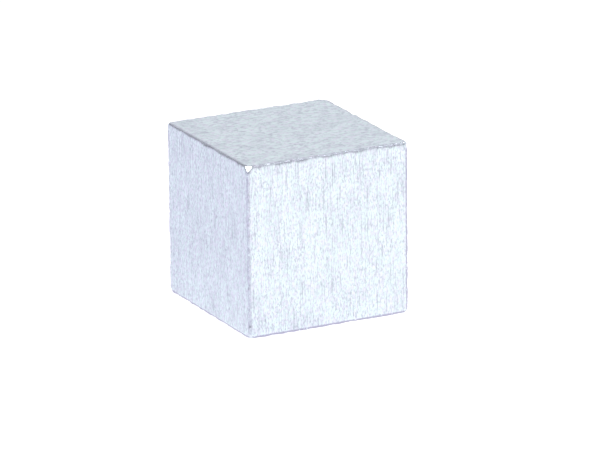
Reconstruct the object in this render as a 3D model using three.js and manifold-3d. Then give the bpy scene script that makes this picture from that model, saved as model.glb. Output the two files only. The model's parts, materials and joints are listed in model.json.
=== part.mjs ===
// Mirror block puzzle: a plain metal cube, cut into 26 blocks of unequal thickness that turn
// about a hidden core, three layers each way.
//
// Millimetres, +Z up. The origin is the middle of the bottom face. The cube's faces are:
//   left -X, right +X, front -Y, back +Y, bottom -Z, top +Z.
//
// Inside, every face has a plastic hub, held to the core by a screw, a washer and a spring. The
// feet of the 12 edges and 8 corners fill a thin shell round the core: the square flanges of the
// hubs hold the edges' feet, and the edge blocks hold the corners' feet. All surfaces that slide
// are planes or spheres about the core, so that each of the six faces can turn.

import * as THREE from "three";
import { RoundedBoxGeometry } from "three/addons/geometries/RoundedBoxGeometry.js";
import { mergeVertices } from "three/addons/utils/BufferGeometryUtils.js";
import Module from "manifold-3d";

// ---------------------------------------------------------------- driving dimensions

const CUBE = 57;
const MIDDLE_LAYER = 18;
// Thickness of the outer layer on each side. The two layers of an axis and the middle one add up
// to the cube's width.
const LAYER = { left: 12, right: 27, front: 15, back: 24, bottom: 18, top: 21 };

const SEAM = 0.04;
const EDGE_ROUND = 0.8;
const EDGE_ROUND_STEPS = 2;

// Spheres about the core's centre.
const HOLLOW_RADIUS = 18.6;
const FOOT_OUTER_RADIUS = 18.2;
const FOOT_INNER_RADIUS = 12;

// Planes at a distance from the core's centre.
const FOOT_PLANE = 5.7;
const FOOT_CLEARANCE = 0.2;
const HUB_TOP = 19;
const BLOCK_ON_HUB_GAP = 0.1;

const HUB = { stemRadius: 5.3, bottom: 8.2, floorTop: 10.2, pocketRadius: 4.3, holeRadius: 1.8 };
const BOSS = { radius: 4, length: 1.1 };
const CORE = { ballRadius: 6.6, armRadius: 4, armEnd: 8, holeRadius: 1.7, holeBottom: 2.6 };
const SCREW = {
  tip: 3.4,
  shankRadius: 1.5,
  headBottom: 15.5,
  headTop: 17.5,
  headRadius: 3.2,
  socketAcrossFlats: 2.5,
  socketDepth: 1.3,
};
const WASHER = { bottom: 14.9, top: 15.4, outerRadius: 4, holeRadius: 1.75 };
const SPRING = { bottom: 10.35, top: 14.8, radius: 3.1, wire: 0.7, turns: 4 };

// Facets on round surfaces.
const SPHERE_STEPS = 7;
const COARSE_SPHERE_STEPS = 4;
const ROUND_SEGMENTS = 18;
const SPRING_STEPS_PER_TURN = 10;
const SPRING_WIRE_SIDES = 5;

// ---------------------------------------------------------------- derived dimensions

const HALF_MIDDLE = MIDDLE_LAYER / 2;
const CORE_CENTRE = new THREE.Vector3(
  LAYER.left + HALF_MIDDLE - CUBE / 2,
  LAYER.front + HALF_MIDDLE - CUBE / 2,
  LAYER.bottom + HALF_MIDDLE,
);

// The six sides: the axis they face along, which way, and the distance from the core's centre.
const SIDES = {
  left: { axis: 0, sign: -1 },
  right: { axis: 0, sign: 1 },
  front: { axis: 1, sign: -1 },
  back: { axis: 1, sign: 1 },
  bottom: { axis: 2, sign: -1 },
  top: { axis: 2, sign: 1 },
};
for (const [name, side] of Object.entries(SIDES)) {
  side.name = name;
  side.reach = LAYER[name] + HALF_MIDDLE;
}

const ALUMINIUM = new THREE.MeshStandardMaterial({
  name: "bare_aluminium",
  color: 0xd9dee6,
  roughness: 0.34,
  metalness: 1,
});
const PLASTIC = new THREE.MeshStandardMaterial({
  name: "black_plastic",
  color: 0x1b1c1e,
  roughness: 0.6,
  metalness: 0,
});
const STEEL = new THREE.MeshStandardMaterial({
  name: "bright_steel",
  color: 0xb4b6ba,
  roughness: 0.3,
  metalness: 1,
});

// ---------------------------------------------------------------- solids

const wasm = await Module();
wasm.setup();

/** Turns a closed three.js geometry into a solid that can be cut and joined. */
function solid(geometry) {
  const bare = geometry.clone();
  bare.deleteAttribute("normal");
  bare.deleteAttribute("uv");
  const merged = mergeVertices(bare, 1e-4);
  const mesh = new wasm.Mesh({
    numProp: 3,
    vertProperties: new Float32Array(merged.attributes.position.array),
    triVerts: new Uint32Array(merged.index.array),
  });
  return new wasm.Manifold(mesh);
}

/** Turns a solid back into a three.js geometry. */
function geometryOf(body) {
  const mesh = body.getMesh();
  const geometry = new THREE.BufferGeometry();
  geometry.setAttribute("position", new THREE.BufferAttribute(mesh.vertProperties, 3));
  geometry.setIndex(new THREE.BufferAttribute(mesh.triVerts, 1));
  geometry.computeVertexNormals();
  return geometry;
}

/** A box between two opposite corners, given as arrays of three. */
function boxBetween(low, high) {
  const size = high.map((value, i) => value - low[i]);
  const middle = high.map((value, i) => (value + low[i]) / 2);
  return solid(new THREE.BoxGeometry(...size).translate(...middle));
}

/**
 * A sphere about the core's centre: a box whose sides are divided into equal steps of angle, so
 * that it is alike along all three axes.
 */
function sphere(radius, steps = SPHERE_STEPS) {
  const geometry = new THREE.BoxGeometry(2, 2, 2, steps, steps, steps);
  const position = geometry.attributes.position;
  const point = new THREE.Vector3();
  for (let i = 0; i < position.count; i += 1) {
    point.fromBufferAttribute(position, i);
    point.fromArray(point.toArray().map((value) => Math.tan((value * Math.PI) / 4)));
    point.setLength(radius);
    position.setXYZ(i, point.x, point.y, point.z);
  }
  return solid(geometry);
}

/** The turn that takes +Z to the outward direction of a side. */
function turnTo(side) {
  const outward = new THREE.Vector3().setComponent(side.axis, side.sign);
  return new THREE.Quaternion().setFromUnitVectors(new THREE.Vector3(0, 0, 1), outward);
}

/** A solid turned about +Z from an outline of [radius, height] points. */
function turned(outline) {
  const points = outline.map(([radius, height]) => new THREE.Vector2(radius, height));
  return solid(new THREE.LatheGeometry(points, ROUND_SEGMENTS).rotateX(Math.PI / 2));
}

/** A full cylinder about +Z. */
function rod(radius, bottom, top) {
  return turned([[0, bottom], [radius, bottom], [radius, top], [0, top]]);
}

/** Faces a solid made about +Z to a side of the cube. */
function facing(body, side) {
  return solid(geometryOf(body).applyQuaternion(turnTo(side)));
}

const hollowSphere = sphere(HOLLOW_RADIUS);
const innerSphere = sphere(FOOT_INNER_RADIUS, COARSE_SPHERE_STEPS);
const footShell = sphere(FOOT_OUTER_RADIUS).subtract(innerSphere);
const cubeEnvelope = solid(
  new RoundedBoxGeometry(CUBE, CUBE, CUBE, EDGE_ROUND_STEPS, EDGE_ROUND).translate(
    -CORE_CENTRE.x,
    -CORE_CENTRE.y,
    CUBE / 2 - CORE_CENTRE.z,
  ),
);

/**
 * A box that starts a given distance out along each of the piece's sides, and is centred on the
 * core along the axes on which the piece has no side.
 */
function cell(sides, start, halfWidth, end) {
  const low = [-halfWidth, -halfWidth, -halfWidth];
  const high = [halfWidth, halfWidth, halfWidth];
  for (const side of sides) {
    const far = end ?? side.reach;
    low[side.axis] = side.sign > 0 ? start : -far;
    high[side.axis] = side.sign > 0 ? far : -start;
  }
  return boxBetween(low, high);
}

const BLOCK_START = HALF_MIDDLE + SEAM / 2;
const BLOCK_HALF = HALF_MIDDLE - SEAM / 2;
const FOOT_START = FOOT_PLANE + FOOT_CLEARANCE / 2;
const FOOT_HALF = FOOT_PLANE - FOOT_CLEARANCE / 2;

/** The metal block of a piece, with the cube's rounded outer edges. */
function block(sides) {
  return cell(sides, BLOCK_START, BLOCK_HALF).intersect(cubeEnvelope);
}

/** The foot of an edge or a corner, in the shell round the core. */
function foot(sides) {
  return cell(sides, FOOT_START, FOOT_HALF, FOOT_OUTER_RADIUS).intersect(footShell);
}

/** An edge: a block hollowed by the sphere, a narrow neck through it, and a foot. */
function edgePiece(sides) {
  const neck = cell(sides, BLOCK_START, FOOT_HALF, HOLLOW_RADIUS).intersect(cubeEnvelope);
  return block(sides).subtract(hollowSphere).add(neck).add(foot(sides)).subtract(innerSphere);
}

/** A corner: a whole block with a foot. */
function cornerPiece(sides) {
  return block(sides).add(foot(sides));
}

/** The metal block over a hub, with a round boss that centres it in the hub's pocket. */
function centreBlock(side) {
  const bottom = HUB_TOP + BLOCK_ON_HUB_GAP;
  const boss = rod(BOSS.radius, bottom - BOSS.length, bottom + BLOCK_ON_HUB_GAP);
  const plate = cell([side], bottom, BLOCK_HALF).intersect(cubeEnvelope);
  return plate.add(facing(boss, side));
}

/** The plastic hub of a face: a hollow stem with a square flange. */
function hub(side) {
  const flange = boxBetween([-BLOCK_HALF, -BLOCK_HALF, BLOCK_START], [BLOCK_HALF, BLOCK_HALF, HUB_TOP]);
  const stem = rod(HUB.stemRadius, HUB.bottom, HUB_TOP);
  const pocket = rod(HUB.pocketRadius, HUB.floorTop, HUB_TOP + 1);
  const hole = rod(HUB.holeRadius, HUB.bottom - 1, HUB.floorTop + 1);
  const body = flange.subtract(hollowSphere).add(stem).subtract(pocket).subtract(hole);
  return facing(body, side);
}

/** The core: a ball with six arms, each with a blind hole for a screw. */
function core() {
  let body = sphere(CORE.ballRadius, COARSE_SPHERE_STEPS);
  for (const side of Object.values(SIDES)) {
    body = body.add(facing(rod(CORE.armRadius, 1, CORE.armEnd), side));
  }
  for (const side of Object.values(SIDES)) {
    body = body.subtract(facing(rod(CORE.holeRadius, CORE.holeBottom, CORE.armEnd + 1), side));
  }
  return body;
}

/** A cap screw with a hexagon socket. */
function screw(side) {
  const shank = rod(SCREW.shankRadius, SCREW.tip, SCREW.headBottom + 0.5);
  const head = rod(SCREW.headRadius, SCREW.headBottom, SCREW.headTop);
  const socketRadius = SCREW.socketAcrossFlats / Math.sqrt(3);
  const socketHeight = SCREW.socketDepth + 1;
  const socket = new THREE.CylinderGeometry(socketRadius, socketRadius, socketHeight, 6)
    .rotateX(Math.PI / 2)
    .translate(0, 0, SCREW.headTop - SCREW.socketDepth + socketHeight / 2);
  return facing(shank.add(head).subtract(solid(socket)), side);
}

/** A flat washer between the screw's head and the spring. */
function washer(side) {
  const ring = turned([
    [WASHER.holeRadius, WASHER.bottom],
    [WASHER.outerRadius, WASHER.bottom],
    [WASHER.outerRadius, WASHER.top],
    [WASHER.holeRadius, WASHER.top],
    [WASHER.holeRadius, WASHER.bottom],
  ]);
  return facing(ring, side);
}

/** The middle line of the coil spring. */
class Helix extends THREE.Curve {
  getPoint(t, target = new THREE.Vector3()) {
    const angle = 2 * Math.PI * SPRING.turns * t;
    const lowest = SPRING.bottom + SPRING.wire / 2;
    const highest = SPRING.top - SPRING.wire / 2;
    return target.set(
      SPRING.radius * Math.cos(angle),
      SPRING.radius * Math.sin(angle),
      lowest + (highest - lowest) * t,
    );
  }
}

/** The compression spring in a hub's pocket. */
function spring(side) {
  const section = new THREE.Shape();
  for (let i = 0; i < SPRING_WIRE_SIDES; i += 1) {
    const angle = (2 * Math.PI * i) / SPRING_WIRE_SIDES;
    const x = (SPRING.wire / 2) * Math.cos(angle);
    const y = (SPRING.wire / 2) * Math.sin(angle);
    if (i === 0) {
      section.moveTo(x, y);
    } else {
      section.lineTo(x, y);
    }
  }
  section.closePath();
  const coil = new THREE.ExtrudeGeometry(section, {
    extrudePath: new Helix(),
    steps: SPRING.turns * SPRING_STEPS_PER_TURN,
    curveSegments: 1,
  });
  return facing(solid(coil), side);
}

// ---------------------------------------------------------------- assembly

const assembly = new THREE.Group();
assembly.position.copy(CORE_CENTRE);

function addPiece(name, body, material) {
  const mesh = new THREE.Mesh(geometryOf(body), material);
  mesh.name = name;
  assembly.add(mesh);
}

/** The sides that meet in a piece, in the order left/right, front/back, bottom/top. */
function pieceName(kind, sides) {
  return [kind, ...sides.map((side) => side.name)].join("_");
}

const [leftRight, frontBack, bottomTop] = [0, 1, 2].map((axis) =>
  Object.values(SIDES).filter((side) => side.axis === axis),
);

addPiece("core", core(), PLASTIC);

for (const side of Object.values(SIDES)) {
  addPiece(`screw_${side.name}`, screw(side), STEEL);
  addPiece(`washer_${side.name}`, washer(side), STEEL);
  addPiece(`spring_${side.name}`, spring(side), STEEL);
  addPiece(`hub_${side.name}`, hub(side), PLASTIC);
  addPiece(`center_${side.name}`, centreBlock(side), ALUMINIUM);
}

const crossingPairs = [
  [leftRight, frontBack],
  [leftRight, bottomTop],
  [frontBack, bottomTop],
];
for (const [firstPair, secondPair] of crossingPairs) {
  for (const first of firstPair) {
    for (const second of secondPair) {
      addPiece(pieceName("edge", [first, second]), edgePiece([first, second]), ALUMINIUM);
    }
  }
}

for (const x of leftRight) {
  for (const y of frontBack) {
    for (const z of bottomTop) {
      addPiece(pieceName("corner", [x, y, z]), cornerPiece([x, y, z]), ALUMINIUM);
    }
  }
}

const cube = new THREE.Group();
cube.add(assembly);

export default cube;
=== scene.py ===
import json
import math

import bmesh
import bpy
from mathutils import Matrix, Vector, noise


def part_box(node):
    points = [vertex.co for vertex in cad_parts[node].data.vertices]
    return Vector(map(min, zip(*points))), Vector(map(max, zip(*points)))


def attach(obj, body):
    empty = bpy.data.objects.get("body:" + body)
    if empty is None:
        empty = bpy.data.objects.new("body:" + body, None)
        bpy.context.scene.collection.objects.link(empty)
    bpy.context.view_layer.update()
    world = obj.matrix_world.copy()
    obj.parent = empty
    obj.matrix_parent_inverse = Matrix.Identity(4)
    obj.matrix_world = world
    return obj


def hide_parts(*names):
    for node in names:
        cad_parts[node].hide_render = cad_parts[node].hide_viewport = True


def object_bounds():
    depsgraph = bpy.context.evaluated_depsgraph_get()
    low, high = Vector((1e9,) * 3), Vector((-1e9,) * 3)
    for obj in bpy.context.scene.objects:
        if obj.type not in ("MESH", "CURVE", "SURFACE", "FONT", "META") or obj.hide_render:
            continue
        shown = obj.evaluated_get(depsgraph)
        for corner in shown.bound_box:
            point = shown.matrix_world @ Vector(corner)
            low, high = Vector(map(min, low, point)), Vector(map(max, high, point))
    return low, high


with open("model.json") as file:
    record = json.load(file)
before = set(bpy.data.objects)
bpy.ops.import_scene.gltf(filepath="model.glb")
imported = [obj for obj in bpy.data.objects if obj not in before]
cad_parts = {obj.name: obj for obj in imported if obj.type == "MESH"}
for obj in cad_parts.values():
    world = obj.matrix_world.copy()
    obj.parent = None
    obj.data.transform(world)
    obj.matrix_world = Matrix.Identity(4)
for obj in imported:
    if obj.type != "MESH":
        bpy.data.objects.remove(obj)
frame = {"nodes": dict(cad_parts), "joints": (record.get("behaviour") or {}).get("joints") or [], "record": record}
cad_low, cad_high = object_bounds()

# A mirror block puzzle of bare aluminium: a plain cube whose 26 blocks were closed up and then
# brushed as one, so that its cuts are hairlines. Metres, +Z up, in the frame of the CAD model.

MM = 0.001

# ------------------------------------------------------------------ sizes from the frame

SIDES = {
    "left": (0, -1),
    "right": (0, 1),
    "front": (1, -1),
    "back": (1, 1),
    "bottom": (2, -1),
    "top": (2, 1),
}
CORE = Vector(frame["joints"][0]["pos_m"])
BODY_OF = {
    node: body for body, nodes in frame["record"]["behaviour"]["bodies"].items() for node in nodes
}


def span_above_core(node):
    """Lowest and highest point of a node of the top side, above the core's centre."""
    low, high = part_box(node)
    return low.z - CORE.z, high.z - CORE.z


HUB_BOTTOM, HUB_TOP = span_above_core("hub_top")
SCREW_TIP, SCREW_TOP = span_above_core("screw_top")
WASHER_BOTTOM, WASHER_TOP = span_above_core("washer_top")
SPRING_BOTTOM, SPRING_TOP = span_above_core("spring_top")

# ------------------------------------------------------------------ sizes of the fine shape

# The middle layers reach this far from the core's centre. The cuts beside them are hairlines.
MIDDLE_HALF = 9 * MM
SEAM_HALF = 0.001 * MM
BLOCK_START = MIDDLE_HALF + SEAM_HALF
BLOCK_HALF = MIDDLE_HALF - SEAM_HALF

EDGE_ROUND = 0.6 * MM
ROUND_STEPS = 5
SKIN_STEP = 0.5 * MM
SKIN_STEP_MIN = 0.15 * MM

# Wear along the cube's edges: how wide it is, and its waves and nicks as (length, depth).
WEAR_WIDTH = 0.8 * MM
WEAR_LEAST = 0.01
WAVES = (3.0 * MM, 0.30 * MM)
WAVE_BIAS = 0.3
NICKS = (1.1 * MM, 0.32 * MM)
# Depth of the corners' bruises, along the cube's diagonals. Some corners took harder knocks;
# they are named by their signs along x, y and z.
CORNER_DEPTH = 0.75 * MM
KNOCKED_CORNERS = {
    (-1, -1, 1): 1.5 * MM,
    (-1, -1, -1): 1.6 * MM,
    (1, -1, -1): 1.1 * MM,
    (-1, 1, -1): 1.2 * MM,
    (1, 1, 1): 1.6 * MM,
}
CORNER_SOFTNESS = 0.12 * MM

# Vertices this close are one, and a face this close to a cut lies on it.
WELD = 0.0001 * MM
CUT_TOLERANCE = 0.001 * MM
SHARP_ANGLE = math.radians(32)

HOLLOW_RADIUS = 18.6 * MM
FOOT_OUTER_RADIUS = 18.2 * MM
FOOT_INNER_RADIUS = 12 * MM
FOOT_START = 5.8 * MM
FOOT_HALF = 5.6 * MM
SPHERE_STEPS = 20

HUB_HALF = 8.95 * MM
HUB_STEM_RADIUS = 5.3 * MM
HUB_POCKET_RADIUS = 4.3 * MM
HUB_POCKET_BOTTOM = 10.2 * MM
HUB_HOLE_RADIUS = 1.8 * MM
BOSS_RADIUS = 4 * MM
BOSS_LENGTH = 1.1 * MM
BLOCK_ON_HUB_GAP = 0.1 * MM
# The small chamfer on the edges of the plastic and steel parts, and how far solids that are
# joined, or a hole and its way out, run past each other.
BREAK = 0.25 * MM
OVERLAP = 0.2 * MM

BALL_RADIUS = 6.6 * MM
ARM_RADIUS = 4 * MM
ARM_START = 1 * MM
ARM_END = 8 * MM
CORE_HOLE_RADIUS = 1.7 * MM
CORE_HOLE_BOTTOM = 2.6 * MM

THREAD_RADIUS = 1.5 * MM
THREAD_PITCH = 0.5 * MM
THREAD_DEPTH = 0.25 * MM
THREAD_END = 8.5 * MM
THREAD_STEPS = 8
THREAD_SEGMENTS = 32
HEAD_BOTTOM = 15.5 * MM
HEAD_RADIUS = 3.2 * MM
SOCKET_RADIUS = 2.5 * MM / math.sqrt(3)
SOCKET_DEPTH = 1.3 * MM
WASHER_RADIUS = 4 * MM
WASHER_HOLE_RADIUS = 1.75 * MM
WASHER_ROLL = 0.1 * MM
SPRING_RADIUS = 3.1 * MM
WIRE = 0.7 * MM
SPRING_TURNS = 4
CLOSED_PITCH = 0.73 * MM

# ------------------------------------------------------------------ camera, light and floor

VIEW_AZIMUTH = math.radians(-27.07)
VIEW_ELEVATION = math.radians(17.35)
VIEW_ROLL = math.radians(-0.60)
VIEW_DISTANCE = 1.883
VIEW_TARGET = Vector((0.0044, 0.0, 0.0252))
LENS = 352.6
SENSOR_WIDTH = 36


def direction(azimuth, elevation):
    """Unit vector towards an azimuth, counted from -Y towards +X, and an elevation."""
    return Vector(
        (
            math.sin(azimuth) * math.cos(elevation),
            -math.cos(azimuth) * math.cos(elevation),
            math.sin(elevation),
        )
    )


def make_camera():
    towards_camera = direction(VIEW_AZIMUTH, VIEW_ELEVATION)
    level = (-towards_camera).cross(Vector((0, 0, 1))).normalized()
    upright = level.cross(-towards_camera)
    right = level * math.cos(VIEW_ROLL) + upright * math.sin(VIEW_ROLL)
    up = upright * math.cos(VIEW_ROLL) - level * math.sin(VIEW_ROLL)
    turn = Matrix((right, up, towards_camera)).transposed().to_4x4()
    data = bpy.data.cameras.new("camera")
    data.lens = LENS
    data.sensor_width = SENSOR_WIDTH
    camera = bpy.data.objects.new("camera", data)
    place = VIEW_TARGET + towards_camera * VIEW_DISTANCE
    camera.matrix_world = Matrix.Translation(place) @ turn
    bpy.context.collection.objects.link(camera)
    bpy.context.scene.camera = camera


# Light of the studio by height: (sine of the elevation, brightness).
SKY = (
    (-1.0, 1.0),
    (-0.03, 1.0),
    (0.02, 0.30),
    (0.14, 0.40),
    (0.34, 0.79),
    (0.60, 1.0),
    (0.80, 0.62),
    (0.90, 0.62),
    (0.98, 0.85),
)
SKY_COLOUR = (1.0, 1.005, 1.02)
# The studio's bright side, and how bright it and the opposite side are.
SKY_BRIGHT_SIDE = direction(math.radians(90), 0)
SKY_DARK_LEVEL = 0.70
SKY_BRIGHT_LEVEL = 1.20
SKY_SIDE_BLEND = 0.5
FLOOR_RADIUS = 3.0
FLOOR_COLOUR = (0.25, 0.25, 0.25)
# The floor glows like a light table; towards the left of the view its glow is a little less and cooler, a painted
# shade where the light falls off and the cube's shadow lies.
FLOOR_GLOW = 1.15
FLOOR_GLOW_IN_PAINTED_SHADE = 0.86
FLOOR_PAINTED_SHADE_COLOUR = (0.97, 0.96, 1.07, 1)
# Where the painted shade is complete and where it starts, in metres across the view.
FLOOR_PAINTED_SHADE_SPAN = (-0.10, 0.06)
# The floor lies a hair below the cube.
FLOOR_DROP = 0.03 * MM


def make_world():
    world = bpy.data.worlds.new("studio")
    bpy.context.scene.world = world
    world.use_nodes = True
    nodes = world.node_tree.nodes
    links = world.node_tree.links
    background = nodes["Background"]
    coordinates = nodes.new("ShaderNodeTexCoord")
    split = nodes.new("ShaderNodeSeparateXYZ")
    span = nodes.new("ShaderNodeMapRange")
    span.inputs["From Min"].default_value = -1
    span.inputs["From Max"].default_value = 1
    ramp = nodes.new("ShaderNodeValToRGB")
    ramp.color_ramp.interpolation = "EASE"
    elements = ramp.color_ramp.elements
    while len(elements) < len(SKY):
        elements.new(0.5)
    for element, (height, brightness) in zip(elements, SKY):
        element.position = (height + 1) / 2
        element.color = (*(brightness * c for c in SKY_COLOUR), 1)
    links.new(coordinates.outputs["Generated"], split.inputs["Vector"])
    links.new(split.outputs["Z"], span.inputs["Value"])
    links.new(span.outputs["Result"], ramp.inputs["Fac"])
    facing = nodes.new("ShaderNodeVectorMath")
    facing.operation = "DOT_PRODUCT"
    facing.inputs[1].default_value = SKY_BRIGHT_SIDE
    level = nodes.new("ShaderNodeMapRange")
    level.interpolation_type = "SMOOTHSTEP"
    level.inputs["From Min"].default_value = -SKY_SIDE_BLEND
    level.inputs["From Max"].default_value = SKY_SIDE_BLEND
    level.inputs["To Min"].default_value = SKY_DARK_LEVEL
    level.inputs["To Max"].default_value = SKY_BRIGHT_LEVEL
    links.new(coordinates.outputs["Generated"], facing.inputs[0])
    links.new(facing.outputs["Value"], level.inputs["Value"])
    links.new(ramp.outputs["Color"], background.inputs["Color"])
    links.new(level.outputs["Result"], background.inputs["Strength"])


def make_floor():
    mesh = bpy.data.meshes.new("floor")
    shape = bmesh.new()
    bmesh.ops.create_circle(shape, cap_ends=True, segments=64, radius=FLOOR_RADIUS)
    shape.to_mesh(mesh)
    shape.free()
    floor = bpy.data.objects.new("floor", mesh)
    floor.location.z = -FLOOR_DROP
    bpy.context.collection.objects.link(floor)
    nodes = Nodes("floor")
    across = nodes.tree.nodes.new("ShaderNodeVectorMath")
    across.operation = "DOT_PRODUCT"
    nodes.give(across.inputs[0], nodes.object_coordinates())
    across.inputs[1].default_value = direction(VIEW_AZIMUTH + math.radians(90), 0)
    # Painted shade: the floor's glow is weaker and bluer towards the left of the view.
    glow = nodes.fade(across.outputs["Value"], *FLOOR_PAINTED_SHADE_SPAN, FLOOR_GLOW_IN_PAINTED_SHADE, FLOOR_GLOW)
    in_painted_shade = nodes.fade(across.outputs["Value"], *FLOOR_PAINTED_SHADE_SPAN, 1.0, 0.0)
    nodes.set("Base Color", (*FLOOR_COLOUR, 1))
    nodes.set("Roughness", 0.9)
    nodes.set("Specular IOR Level", 0.1)
    nodes.set("Emission Color", nodes.blend(in_painted_shade, (1, 1, 1, 1), FLOOR_PAINTED_SHADE_COLOUR))
    nodes.set("Emission Strength", glow)
    mesh.materials.append(nodes.material)


def make_lamp(name, azimuth, elevation, distance, size, power):
    """A square soft light that faces the cube."""
    data = bpy.data.lights.new(name, "AREA")
    data.shape = "SQUARE"
    data.size = size
    data.energy = power
    lamp = bpy.data.objects.new(name, data)
    outward = direction(math.radians(azimuth), math.radians(elevation))
    lamp.location = VIEW_TARGET + outward * distance
    lamp.rotation_euler = outward.to_track_quat("Z", "Y").to_euler()
    bpy.context.collection.objects.link(lamp)


# ------------------------------------------------------------------ materials


class Nodes:
    """Adds linked shader nodes to a new material."""

    def __init__(self, name):
        self.material = bpy.data.materials.new(name)
        self.material.use_nodes = True
        self.tree = self.material.node_tree
        self.shader = self.tree.nodes["Principled BSDF"]

    def give(self, socket, value):
        if isinstance(value, bpy.types.NodeSocket):
            self.tree.links.new(value, socket)
        else:
            socket.default_value = value

    def set(self, name, value):
        self.give(self.shader.inputs[name], value)

    def object_coordinates(self):
        return self.tree.nodes.new("ShaderNodeTexCoord").outputs["Object"]

    def stretched(self, vector, scale):
        node = self.tree.nodes.new("ShaderNodeVectorMath")
        node.operation = "MULTIPLY"
        self.give(node.inputs[0], vector)
        self.give(node.inputs[1], scale)
        return node.outputs[0]

    def noise(self, vector, size, detail=2.0, rough=0.5, warp=0.0):
        """Noise from 0 to 1 whose patches are about the given size in metres."""
        node = self.tree.nodes.new("ShaderNodeTexNoise")
        self.give(node.inputs["Vector"], vector)
        node.inputs["Scale"].default_value = 1 / size
        node.inputs["Detail"].default_value = detail
        node.inputs["Roughness"].default_value = rough
        node.inputs["Distortion"].default_value = warp
        return node.outputs[0]

    def maths(self, operation, *values):
        node = self.tree.nodes.new("ShaderNodeMath")
        node.operation = operation
        for socket, value in zip(node.inputs, values):
            self.give(socket, value)
        return node.outputs[0]

    def fade(self, value, start, end, low=0.0, high=1.0):
        """Runs smoothly from low to high while value goes from start to end."""
        node = self.tree.nodes.new("ShaderNodeMapRange")
        node.interpolation_type = "SMOOTHSTEP"
        self.give(node.inputs["Value"], value)
        node.inputs["From Min"].default_value = start
        node.inputs["From Max"].default_value = end
        node.inputs["To Min"].default_value = low
        node.inputs["To Max"].default_value = high
        return node.outputs[0]

    def blend(self, factor, first, second):
        node = self.tree.nodes.new("ShaderNodeMix")
        node.data_type = "RGBA"
        self.give(node.inputs[0], factor)
        self.give(node.inputs[6], first)
        self.give(node.inputs[7], second)
        return node.outputs[2]

    def bump(self, height, depth, strength=1.0):
        node = self.tree.nodes.new("ShaderNodeBump")
        node.inputs["Strength"].default_value = strength
        node.inputs["Distance"].default_value = depth
        self.give(node.inputs["Height"], height)
        return node.outputs[0]

    def split(self, vector):
        node = self.tree.nodes.new("ShaderNodeSeparateXYZ")
        self.give(node.inputs[0], vector)
        return node.outputs

    def tangent(self, axis):
        node = self.tree.nodes.new("ShaderNodeTangent")
        node.direction_type = "RADIAL"
        node.axis = axis
        return node.outputs[0]


# Colours of the brushed metal: bright, dulled, in the deep lines, on the edges (stain and painted shade) and with
# a film.
METAL_LIGHT = (0.785, 0.892, 0.920, 1)
METAL_DULL = (0.50, 0.54, 0.62, 1)
METAL_DARK = (0.32, 0.33, 0.41, 1)
METAL_EDGE_STAIN_AND_SHADE = (0.38, 0.37, 0.49, 1)
METAL_LILAC = (0.785, 0.790, 0.895, 1)
# The finest layer of the brushed grain: (width, length over width, share).
FINE_GRAIN = (0.11 * MM, 12, 1.0)
# Colours of the cut faces, the plastic and the steel.
CUT_LIGHT = (0.80, 0.85, 0.90, 1)
CUT_DARK = (0.50, 0.52, 0.56, 1)
CUT_GREASED = (0.36, 0.36, 0.36, 1)
PLASTIC_DARK = (0.016, 0.016, 0.018, 1)
PLASTIC_PALE = (0.034, 0.034, 0.037, 1)
STEEL_BRIGHT = (0.60, 0.60, 0.62, 1)
STEEL_OILY = (0.42, 0.41, 0.40, 1)


def edge_and_corner_distance(nodes, where):
    """Distances from a point of the cube's skin to the nearest edge and corner of the cube."""
    middle = (cad_low + cad_high) / 2
    half = (cad_high.x - cad_low.x) / 2
    inwards = []
    for socket, centre in zip(nodes.split(where), middle):
        offset = nodes.maths("ABSOLUTE", nodes.maths("SUBTRACT", socket, centre))
        inwards.append(nodes.maths("SUBTRACT", half, offset))
    x, y, z = inwards
    nearer = nodes.maths("MINIMUM", x, y)
    farther = nodes.maths("MAXIMUM", x, y)
    edge = nodes.maths("MAXIMUM", nearer, nodes.maths("MINIMUM", farther, z))
    return edge, nodes.maths("MAXIMUM", farther, z)


def edge_stain_and_shade(nodes, where):
    """How near a point is to the cube's edges, and the share of dark stain and painted shade there, from 0 to 1.
    The edge line is partly stain and partly painted shade, the dark rim that rounded edges show in this light.
    Chips have lost much of it, and the painted shade is lighter near the top, on the upper corners and on the
    front left edge, where these catch the light."""
    to_edge, to_corner = edge_and_corner_distance(nodes, where)
    x, y, z = nodes.split(where)
    near_top = nodes.fade(z, cad_high.z - 3 * MM, cad_high.z - MM)
    on_edge = nodes.fade(to_edge, 1.15 * MM, 0.65 * MM)
    on_corner = nodes.maths("MULTIPLY", nodes.fade(to_corner, 1.8 * MM, 1.0 * MM), near_top)
    chips = nodes.fade(nodes.noise(where, 0.9 * MM, 3.0, 0.65), 0.57, 0.67)
    # Chips are worn to bare metal; the upper corners are kept free of painted shade so that they show the lamp's
    # glint.
    bare = nodes.maths("MAXIMUM", chips, on_corner)
    # Painted shade: the edge line is darker on the lower and upright edges and lighter near the top, as these
    # edges catch the light.
    stain_and_shade_share = nodes.fade(near_top, 0.0, 1.0, 0.95, 0.42)
    stain_and_shade_share = nodes.maths("MULTIPLY", stain_and_shade_share, nodes.fade(bare, 0.0, 1.0, 1.0, 0.15))
    # Painted shade is kept lighter along the front left edge, which catches the light.
    front_left = cad_low.x + cad_low.y
    from_front_left = nodes.maths("ADD", x, y)
    front_left_lit = nodes.fade(from_front_left, front_left + MM, front_left + 3 * MM, 0.50, 1.0)
    return on_edge, nodes.maths("MULTIPLY", on_edge, nodes.maths("MULTIPLY", stain_and_shade_share, front_left_lit))


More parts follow.
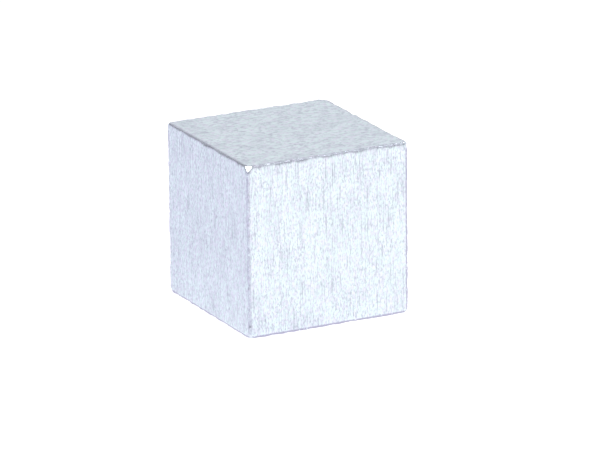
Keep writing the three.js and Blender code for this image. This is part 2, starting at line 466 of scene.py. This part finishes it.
def brushed_aluminium(name, along, speck, lines, clouds, film, tangent_axis):
    """Bare brushed metal. along is the axis of the grain; speck, lines, clouds and film are
    each (width across the grain, length over width, share of the other colour)."""
    nodes = Nodes(name)
    where = nodes.object_coordinates()

    def pattern(layer, detail, rough, start, end):
        width, longer, share = layer
        scale = tuple(1 / longer if axis == along else 1 for axis in range(3))
        value = nodes.noise(nodes.stretched(where, scale), width, detail, rough)
        return value, nodes.fade(value, start, end, 0.0, share)

    speck_height, speck_tint = pattern(speck, 2.5, 0.7, 0.45, 0.64)
    line_height, line_tint = pattern(lines, 1.0, 0.5, 0.52, 0.74)
    cloud_height, cloud_tint = pattern(clouds, 3.0, 0.6, 0.38, 0.68)
    grain_height, grain_tint = pattern(FINE_GRAIN, 3.0, 0.7, 0.30, 0.70)
    _, film_tint = pattern(film, 2.0, 0.5, 0.42, 0.62)
    density = nodes.fade(nodes.noise(where, 5 * MM, 2.0, 0.5), 0.35, 0.60, 0.72, 1.0)

    on_edge, edge_stain_and_shade_tint = edge_stain_and_shade(nodes, where)

    colour = nodes.blend(film_tint, METAL_LIGHT, METAL_LILAC)
    colour = nodes.blend(nodes.maths("MULTIPLY", speck_tint, density), colour, METAL_DULL)
    colour = nodes.blend(cloud_tint, colour, METAL_DULL)
    colour = nodes.blend(line_tint, colour, METAL_DARK)
    # Stain and painted shade darken the cube's edges.
    colour = nodes.blend(edge_stain_and_shade_tint, colour, METAL_EDGE_STAIN_AND_SHADE)

    rough = nodes.fade(grain_tint, 0.0, 1.0, 0.38, 0.50)
    rough = nodes.maths("ADD", rough, nodes.maths("MULTIPLY", line_tint, 0.25))
    rough = nodes.maths("SUBTRACT", rough, nodes.maths("MULTIPLY", on_edge, 0.15))

    height = nodes.maths("ADD", nodes.maths("MULTIPLY", grain_height, 0.3), speck_height)
    height = nodes.maths("SUBTRACT", height, nodes.maths("MULTIPLY", line_height, 0.8))
    height = nodes.maths("ADD", height, nodes.maths("MULTIPLY", cloud_height, 0.8))
    height = nodes.maths("SUBTRACT", height, nodes.maths("MULTIPLY", edge_stain_and_shade_tint, 1.2))

    nodes.set("Base Color", colour)
    nodes.set("Metallic", 1.0)
    nodes.set("Roughness", rough)
    nodes.set("Anisotropic", 0.3)
    nodes.set("Tangent", nodes.tangent(tangent_axis))
    nodes.set("Normal", nodes.bump(height, 0.03 * MM, 0.7))
    return nodes.material


def cut_aluminium():
    """Sawn and lapped cut faces and the milled feet, with rings worn in by turning."""
    nodes = Nodes("cut_aluminium")
    where = nodes.object_coordinates()
    from_core = nodes.tree.nodes.new("ShaderNodeVectorMath")
    from_core.operation = "DISTANCE"
    nodes.give(from_core.inputs[0], where)
    from_core.inputs[1].default_value = CORE
    rings = nodes.tree.nodes.new("ShaderNodeTexNoise")
    rings.noise_dimensions = "1D"
    nodes.give(rings.inputs["W"], from_core.outputs["Value"])
    rings.inputs["Scale"].default_value = 1 / (0.25 * MM)
    rings.inputs["Detail"].default_value = 4
    rings.inputs["Roughness"].default_value = 0.7
    ring = nodes.fade(rings.outputs[0], 0.35, 0.65)
    cloud = nodes.noise(where, 2.5 * MM, 4.0, 0.6, 0.5)
    grease = nodes.fade(cloud, 0.45, 0.70)
    grain = nodes.noise(where, 0.10 * MM, 3.0, 0.7)
    colour = nodes.blend(nodes.maths("MULTIPLY", ring, 0.18), CUT_LIGHT, CUT_DARK)
    colour = nodes.blend(nodes.maths("MULTIPLY", grease, 0.22), colour, CUT_GREASED)
    rough = nodes.fade(ring, 0.0, 1.0, 0.26, 0.36)
    rough = nodes.maths("ADD", rough, nodes.maths("MULTIPLY", grease, 0.12))
    height = nodes.maths("MULTIPLY", ring, 0.6)
    height = nodes.maths("ADD", height, nodes.maths("MULTIPLY", grain, 0.5))
    nodes.set("Base Color", colour)
    nodes.set("Metallic", 1.0)
    nodes.set("Roughness", rough)
    nodes.set("Normal", nodes.bump(height, 0.006 * MM, 0.8))
    return nodes.material


def black_plastic():
    """Moulded plastic with a fine satin grain, flow marks and a smear of grease."""
    nodes = Nodes("black_plastic")
    where = nodes.object_coordinates()
    grain = nodes.noise(where, 0.16 * MM, 3.0, 0.6)
    flow = nodes.noise(where, 3 * MM, 3.0, 0.5, 1.2)
    grease = nodes.fade(nodes.noise(where, 2 * MM, 3.0, 0.6), 0.52, 0.66)
    colour = nodes.blend(nodes.fade(flow, 0.35, 0.7), PLASTIC_DARK, PLASTIC_PALE)
    rough = nodes.fade(grain, 0.3, 0.7, 0.48, 0.62)
    rough = nodes.maths("SUBTRACT", rough, nodes.maths("MULTIPLY", grease, 0.25))
    nodes.set("Base Color", colour)
    nodes.set("Roughness", rough)
    nodes.set("Normal", nodes.bump(grain, 0.012 * MM, 0.6))
    return nodes.material


def bright_steel():
    """Drawn wire and turned screws: bright, with faint drawing lines and an oily film."""
    nodes = Nodes("bright_steel")
    where = nodes.object_coordinates()
    lines = nodes.noise(nodes.stretched(where, (1, 1, 0.2)), 0.10 * MM, 3.0, 0.7)
    film = nodes.noise(where, 1.6 * MM, 3.0, 0.6, 0.6)
    colour = nodes.blend(nodes.fade(film, 0.4, 0.7), STEEL_BRIGHT, STEEL_OILY)
    nodes.set("Base Color", colour)
    nodes.set("Metallic", 1.0)
    nodes.set("Roughness", nodes.fade(lines, 0.3, 0.7, 0.20, 0.34))
    nodes.set("Normal", nodes.bump(lines, 0.004 * MM, 0.7))
    return nodes.material


# ------------------------------------------------------------------ closed meshes


def lattice_surface(lines, place):
    """The closed outside of a lattice of lines along x, y and z; place puts each point."""
    last = [len(axis_lines) - 1 for axis_lines in lines]
    index = {}
    vertices = []
    faces = []

    def vertex(key):
        if key not in index:
            index[key] = len(vertices)
            vertices.append(place(Vector([lines[axis][key[axis]] for axis in range(3)])))
        return index[key]

    for axis in range(3):
        u, v = (axis + 1) % 3, (axis + 2) % 3
        for end in (0, last[axis]):
            for i in range(last[u]):
                for j in range(last[v]):
                    corners = []
                    for i_step, j_step in ((0, 0), (1, 0), (1, 1), (0, 1)):
                        key = [end, end, end]
                        key[u] = i + i_step
                        key[v] = j + j_step
                        corners.append(vertex(tuple(key)))
                    if end == 0:
                        corners.reverse()
                    faces.append(corners)
    mesh = bpy.data.meshes.new("surface")
    mesh.from_pydata(vertices, [], faces)
    return mesh


def rounded(point, low, high, radius):
    """The point of a rounded box that belongs to a point of the sharp one, and its normal."""
    inner = Vector([min(max(point[i], low[i] + radius), high[i] - radius) for i in range(3)])
    outward = (point - inner).normalized()
    return inner + outward * radius, outward


def sphere_mesh(radius, steps=SPHERE_STEPS):
    """A sphere about the core's centre, made of six alike patches."""
    angles = [math.radians(90) * i / steps - math.radians(45) for i in range(steps + 1)]
    lines = [[CORE[axis] + radius * math.tan(angle) for angle in angles] for axis in range(3)]
    reach = Vector((radius, radius, radius))
    return lattice_surface(lines, lambda p: rounded(p, CORE - reach, CORE + reach, radius)[0])


def box_mesh(low, high):
    return lattice_surface([(low[axis], high[axis]) for axis in range(3)], lambda p: p)


def rounding_lines(low, high, radius, steps):
    """Lines along one axis of a box whose edges get rounded."""
    arc = [radius * (1 - math.tan(math.radians(45) * i / steps)) for i in range(steps + 1)]
    return sorted([low + offset for offset in arc] + [high - offset for offset in arc])


def rounded_box_mesh(low, high, radius, steps=3):
    lines = [rounding_lines(low[axis], high[axis], radius, steps) for axis in range(3)]
    return lattice_surface(lines, lambda p: rounded(p, low, high, radius)[0])


def boolean(first, second, operation):
    """One closed mesh joined with, cut by or kept in common with another."""
    objects = [bpy.data.objects.new("operand", mesh) for mesh in (first, second)]
    for item in objects:
        bpy.context.collection.objects.link(item)
    modifier = objects[0].modifiers.new("boolean", "BOOLEAN")
    modifier.operation = operation
    modifier.solver = "MANIFOLD"
    modifier.object = objects[1]
    evaluated = objects[0].evaluated_get(bpy.context.evaluated_depsgraph_get())
    result = bpy.data.meshes.new_from_object(evaluated)
    for item in objects:
        bpy.data.objects.remove(item)
    return result


def cleaned(mesh):
    """Triangles of a mesh, welded, without those of no area and those lying back to back."""
    index = {}
    vertices = []
    welded = []
    for vertex in mesh.vertices:
        key = tuple(round(coordinate / WELD) for coordinate in vertex.co)
        if key not in index:
            index[key] = len(vertices)
            vertices.append(vertex.co.copy())
        welded.append(index[key])
    mesh.calc_loop_triangles()
    faces = {}
    for triangle in mesh.loop_triangles:
        corners = [welded[i] for i in triangle.vertices]
        key = frozenset(corners)
        if key in faces:
            del faces[key]
        elif len(key) == 3:
            faces[key] = corners
    clean = bpy.data.meshes.new("clean")
    clean.from_pydata(vertices, [], list(faces.values()))
    return clean


# ------------------------------------------------------------------ the cube's skin


def skin_lines(axis):
    """Lines of the skin's lattice along an axis, close together at the rounded edges."""
    low, high = cad_low[axis], cad_high[axis]
    lines = rounding_lines(low, high, EDGE_ROUND, ROUND_STEPS)
    flat = high - low - 2 * EDGE_ROUND
    steps = round(flat / SKIN_STEP)
    for i in range(1, steps):
        line = low + EDGE_ROUND + flat * i / steps
        if min(abs(line - other) for other in lines) > SKIN_STEP_MIN:
            lines.append(line)
    return sorted(lines)


def edge_wear(point):
    """How far the metal is worn back near the cube's edges, in long waves and short nicks."""
    inwards = [min(point[i] - cad_low[i], cad_high[i] - point[i]) for i in range(3)]
    near = math.exp(-((sorted(inwards)[1] / WEAR_WIDTH) ** 2))
    if near < WEAR_LEAST:
        return 0.0
    wave_length, wave_depth = WAVES
    nick_length, nick_depth = NICKS
    wave = max(0.0, WAVE_BIAS + noise.noise(point / wave_length)) * wave_depth
    nick = max(0.0, noise.noise(point / nick_length)) * nick_depth
    return near * (wave + nick)


def corner_wear(point):
    """How far a point near one of the cube's corners is pushed in to a flat, bruised facet."""
    middle = (cad_low + cad_high) / 2
    half = (cad_high - cad_low) / 2
    signs = tuple(1 if point[i] > middle[i] else -1 for i in range(3))
    to_corner = Vector([signs[i] * half[i] for i in range(3)])
    inward = -to_corner.normalized()
    depth = KNOCKED_CORNERS.get(signs, CORNER_DEPTH)
    short = depth - (point - middle - to_corner).dot(inward)
    if short < -4 * CORNER_SOFTNESS:
        return Vector((0, 0, 0))
    return inward * (CORNER_SOFTNESS * math.log1p(math.exp(short / CORNER_SOFTNESS)))


def place_on_skin(point):
    on_skin, outward = rounded(point, cad_low, cad_high, EDGE_ROUND)
    bruise = corner_wear(on_skin)
    worn = edge_wear(point) * math.exp(-bruise.length / CORNER_SOFTNESS)
    return on_skin - outward * worn + bruise


# ------------------------------------------------------------------ pieces


def cell_mesh(sides, start, half_width, reach=1.0):
    """A box from start outwards along each named side, centred on the core otherwise."""
    low = CORE - Vector((half_width, half_width, half_width))
    high = CORE + Vector((half_width, half_width, half_width))
    for side in sides:
        axis, sign = SIDES[side]
        ends = sorted((CORE[axis] + sign * start, CORE[axis] + sign * reach))
        low[axis], high[axis] = ends
    return box_mesh(low, high)


def metal_block(sides):
    return boolean(SKIN, cell_mesh(sides, BLOCK_START, BLOCK_HALF), "INTERSECT")


def foot(sides):
    return boolean(FOOT_SHELL, cell_mesh(sides, FOOT_START, FOOT_HALF), "INTERSECT")


def edge_piece(sides):
    neck = cell_mesh(sides, BLOCK_START, FOOT_HALF, HOLLOW_RADIUS)
    neck = boolean(neck, SKIN, "INTERSECT")
    block = boolean(metal_block(sides), HOLLOW, "DIFFERENCE")
    piece = boolean(boolean(block, neck, "UNION"), foot(sides), "UNION")
    return boolean(piece, INNER, "DIFFERENCE")


def corner_piece(sides):
    return boolean(metal_block(sides), foot(sides), "UNION")


def turn_to(side):
    """Takes shapes made about +Z from the origin to a side of the cube."""
    axis, sign = SIDES[side]
    outward = Vector((0, 0, 0))
    outward[axis] = sign
    turn = Vector((0, 0, 1)).rotation_difference(outward).to_matrix().to_4x4()
    return Matrix.Translation(CORE) @ turn


def constant(radius):
    """A function that gives the same radius at every angle."""
    return lambda angle: radius


def lathe(outline, segments=48):
    """A closed solid turned about Z from an outline of (radius, height)."""
    return turned([(constant(radius), height) for radius, height in outline], segments)


def turned(outline, segments):
    """A closed solid about Z from (function that gives the radius at an angle, height)."""
    vertices = []
    rings = []
    for radius_at, height in outline:
        ring = []
        count = 1 if radius_at(0) == 0 else segments
        for i in range(count):
            angle = 2 * math.pi * i / segments
            ring.append(len(vertices))
            radius = radius_at(angle)
            vertices.append((radius * math.cos(angle), radius * math.sin(angle), height))
        rings.append(ring)
    pairs = list(zip(rings, rings[1:]))
    if len(rings[0]) > 1:
        pairs.append((rings[-1], rings[0]))
    return band_mesh(vertices, pairs, segments)


def band_mesh(vertices, pairs, segments):
    """Faces between pairs of rings of vertices. A ring of one vertex is a tip."""
    faces = []
    for lower, upper in pairs:
        for i in range(segments):
            j = (i + 1) % segments
            face = [
                lower[i % len(lower)],
                lower[j % len(lower)],
                upper[j % len(upper)],
                upper[i % len(upper)],
            ]
            corners = list(dict.fromkeys(face))
            if len(corners) > 2:
                faces.append(corners)
    mesh = bpy.data.meshes.new("rings")
    mesh.from_pydata(vertices, [], faces)
    return mesh


def rod(radius, bottom, top, bevel=0.0):
    """A cylinder about Z whose top and bottom edges may be broken."""
    wall = [(radius, bottom + bevel), (radius, top - bevel)]
    if bevel:
        wall = [(radius - bevel, bottom), *wall, (radius - bevel, top)]
    return lathe([(0, bottom), *wall, (0, top)])


def facing(mesh, side):
    """A mesh made about +Z from the origin, taken to a side of the cube."""
    mesh.transform(turn_to(side))
    return mesh


def centre_block(sides):
    """The block over a hub, with a round boss that centres it in the hub."""
    bottom = HUB_TOP + BLOCK_ON_HUB_GAP
    boss = rod(BOSS_RADIUS, bottom - BOSS_LENGTH, bottom + BREAK, BREAK / 2)
    plate = boolean(SKIN, cell_mesh(sides, bottom, BLOCK_HALF), "INTERSECT")
    return boolean(plate, facing(boss, sides[0]), "UNION")


def hub(sides):
    """The plastic hub of a face: a square flange on a hollow stem."""
    low = CORE - Vector((HUB_HALF, HUB_HALF, HUB_HALF))
    high = CORE + Vector((HUB_HALF, HUB_HALF, HUB_HALF))
    axis, sign = SIDES[sides[0]]
    low[axis], high[axis] = sorted((CORE[axis] + sign * HUB_HALF, CORE[axis] + sign * HUB_TOP))
    flange = boolean(rounded_box_mesh(low, high, BREAK), HOLLOW, "DIFFERENCE")
    stem = rod(HUB_STEM_RADIUS, HUB_BOTTOM, HUB_TOP - BREAK, BREAK)
    pocket_outline = [
        (0, HUB_POCKET_BOTTOM),
        (HUB_POCKET_RADIUS, HUB_POCKET_BOTTOM),
        (HUB_POCKET_RADIUS, HUB_TOP - BREAK),
        (HUB_POCKET_RADIUS + 2 * BREAK, HUB_TOP + BREAK),
        (0, HUB_TOP + BREAK),
    ]
    hole = rod(HUB_HOLE_RADIUS, HUB_BOTTOM - OVERLAP, HUB_POCKET_BOTTOM + OVERLAP)
    body = boolean(flange, facing(stem, sides[0]), "UNION")
    body = boolean(body, facing(lathe(pocket_outline), sides[0]), "DIFFERENCE")
    return boolean(body, facing(hole, sides[0]), "DIFFERENCE")


def core(sides):
    """A ball with six arms, each with a drilled screw hole."""
    body = sphere_mesh(BALL_RADIUS)
    hole = [
        (0, CORE_HOLE_BOTTOM),
        (CORE_HOLE_RADIUS, CORE_HOLE_BOTTOM + CORE_HOLE_RADIUS / 2),
        (CORE_HOLE_RADIUS, ARM_END - BREAK),
        (CORE_HOLE_RADIUS + 2 * BREAK, ARM_END + BREAK),
        (0, ARM_END + BREAK),
    ]
    for side in SIDES:
        body = boolean(body, facing(rod(ARM_RADIUS, ARM_START, ARM_END, BREAK), side), "UNION")
    for side in SIDES:
        body = boolean(body, facing(lathe(hole), side), "DIFFERENCE")
    return body


def screw_thread():
    """A screw's threaded end, a helix cut into a rod."""

    def groove(height):
        def radius_at(angle):
            phase = (height / THREAD_PITCH - angle / (2 * math.pi)) % 1
            return THREAD_RADIUS - THREAD_DEPTH * (1 - abs(2 * phase - 1))

        return radius_at

    count = round((THREAD_END - SCREW_TIP) / THREAD_PITCH * THREAD_STEPS)
    heights = [SCREW_TIP + (THREAD_END - SCREW_TIP) * i / count for i in range(count + 1)]
    outline = [(constant(0), SCREW_TIP)]
    outline += [(groove(height), height) for height in heights]
    outline += [(constant(0), THREAD_END)]
    return turned(outline, THREAD_SEGMENTS)


def screw(sides):
    """A cap screw with a hexagon socket."""
    shank = rod(THREAD_RADIUS, THREAD_END - OVERLAP, HEAD_BOTTOM + BREAK)
    head = rod(HEAD_RADIUS, HEAD_BOTTOM, SCREW_TOP, BREAK)
    socket_bottom = SCREW_TOP - SOCKET_DEPTH
    socket_outline = [
        (0, socket_bottom - BREAK),
        (SOCKET_RADIUS, socket_bottom),
        (SOCKET_RADIUS, SCREW_TOP + BREAK),
        (0, SCREW_TOP + BREAK),
    ]
    body = boolean(boolean(screw_thread(), shank, "UNION"), head, "UNION")
    return facing(boolean(body, lathe(socket_outline, 6), "DIFFERENCE"), sides[0])


def washer(sides):
    """A stamped washer with rolled edges."""
    roll = WASHER_ROLL
    inner, outer = WASHER_HOLE_RADIUS, WASHER_RADIUS
    outline = [
        (inner + roll, WASHER_BOTTOM),
        (outer - roll, WASHER_BOTTOM),
        (outer, WASHER_BOTTOM + roll),
        (outer, WASHER_TOP - roll),
        (outer - roll, WASHER_TOP),
        (inner + roll, WASHER_TOP),
        (inner, WASHER_TOP - roll),
        (inner, WASHER_BOTTOM + roll),
    ]
    return facing(lathe(outline), sides[0])


def spring_height(turn):
    """Height of the wire's middle after so many turns. The first and last turns lie closed."""
    free_turns = SPRING_TURNS - 2
    free_pitch = (SPRING_TOP - SPRING_BOTTOM - WIRE - 2 * CLOSED_PITCH) / free_turns
    closed = min(turn, 1) + max(turn - SPRING_TURNS + 1, 0)
    free = min(max(turn - 1, 0), free_turns)
    return SPRING_BOTTOM + WIRE / 2 + closed * CLOSED_PITCH + free * free_pitch


def spring(sides, steps_per_turn=36, wire_sides=10):
    """A coil of round wire between the hub's floor and the washer."""
    vertices = []
    rings = []
    for step in range(SPRING_TURNS * steps_per_turn + 1):
        turn = step / steps_per_turn
        angle = 2 * math.pi * turn
        outward = Vector((math.cos(angle), math.sin(angle), 0))
        middle = outward * SPRING_RADIUS + Vector((0, 0, spring_height(turn)))
        ring = []
        for i in range(wire_sides):
            around = 2 * math.pi * i / wire_sides
            ring.append(len(vertices))
            offset = outward * math.cos(around) + Vector((0, 0, math.sin(around)))
            vertices.append(middle + offset * (WIRE / 2))
        rings.append(ring)
    tips = []
    for ring in (rings[0], rings[-1]):
        tips.append([len(vertices)])
        vertices.append(sum((vertices[i] for i in ring), Vector()) / wire_sides)
    rings = [tips[0], *rings, tips[1]]
    mesh = band_mesh(vertices, list(zip(rings, rings[1:])), wire_sides)
    mesh.flip_normals()
    return facing(mesh, sides[0])


def put(name, mesh, chooser):
    """Makes a mesh the fine shape of a CAD node and rides it on the node's body."""
    mesh = cleaned(mesh)
    piece = bpy.data.objects.new(f"{name}_fine", mesh)
    bpy.context.collection.objects.link(piece)
    mesh.name = piece.name
    materials = []
    slots = []
    for polygon in mesh.polygons:
        material = chooser(polygon)
        if material not in materials:
            materials.append(material)
        slots.append(materials.index(material))
    for material in materials:
        mesh.materials.append(material)
    mesh.polygons.foreach_set("material_index", slots)
    mesh.polygons.foreach_set("use_smooth", [True] * len(mesh.polygons))
    mesh.set_sharp_from_angle(angle=SHARP_ANGLE)
    weighted = piece.modifiers.new("weighted_normals", "WEIGHTED_NORMAL")
    weighted.keep_sharp = True
    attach(piece, BODY_OF[name])
    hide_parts(name)


def on_outside(point):
    """Whether a point is on the cube's skin and not on a cut, a foot or the hollow."""
    flat = min(min(point[i] - cad_low[i], cad_high[i] - point[i]) for i in range(3))
    return flat < EDGE_ROUND


def choose_metal(polygon):
    if not on_outside(polygon.center):
        return CUT
    start = [abs(polygon.center[i] - CORE[i]) for i in range(3)]
    for axis in range(3):
        to_cut = min(abs(start[axis] - BLOCK_START), abs(start[axis] - BLOCK_HALF))
        if to_cut < CUT_TOLERANCE and abs(polygon.normal[axis]) > 0.99:
            return CUT
    return GRAIN_ALONG_X if abs(polygon.normal.z) > 0.75 else GRAIN_UPRIGHT


make_camera()
make_world()
make_floor()
make_lamp("corner_glint", -72, 49, 1.2, 0.26, 4.0)
make_lamp("edge_glint", 55, 58, 1.2, 0.12, 0.6)

GRAIN_UPRIGHT = brushed_aluminium(
    "aluminium_grain_upright",
    along=2,
    speck=(0.42 * MM, 2.8, 0.90),
    lines=(0.36 * MM, 26, 0.42),
    clouds=(3.0 * MM, 3, 0.18),
    film=(0.8 * MM, 1.6, 0.9),
    tangent_axis="Z",
)
GRAIN_ALONG_X = brushed_aluminium(
    "aluminium_grain_along_x",
    along=0,
    speck=(1.15 * MM, 1.2, 0.68),
    lines=(0.9 * MM, 4, 0.20),
    clouds=(4.5 * MM, 2, 0.20),
    film=(1.3 * MM, 1.3, 0.85),
    tangent_axis="X",
)
CUT = cut_aluminium()
PLASTIC = black_plastic()
STEEL = bright_steel()

SKIN = lattice_surface([skin_lines(axis) for axis in range(3)], place_on_skin)
HOLLOW = sphere_mesh(HOLLOW_RADIUS)
INNER = sphere_mesh(FOOT_INNER_RADIUS)
FOOT_SHELL = boolean(sphere_mesh(FOOT_OUTER_RADIUS), INNER, "DIFFERENCE")


# How each kind of node is made, the record's slot of its finish, and what picks its materials.
KINDS = {
    "edge": (edge_piece, "bare_aluminium", choose_metal),
    "corner": (corner_piece, "bare_aluminium", choose_metal),
    "center": (centre_block, "bare_aluminium", choose_metal),
    "core": (core, "black_plastic", lambda polygon: PLASTIC),
    "hub": (hub, "black_plastic", lambda polygon: PLASTIC),
    "screw": (screw, "bright_steel", lambda polygon: STEEL),
    "washer": (washer, "bright_steel", lambda polygon: STEEL),
    "spring": (spring, "bright_steel", lambda polygon: STEEL),
}

for name in sorted(frame["nodes"]):
    kind, *sides = name.split("_")
    make, slot, chooser = KINDS[kind]
    put(name, make(sides), chooser)

bpy.context.scene.view_settings.view_transform = "Standard"
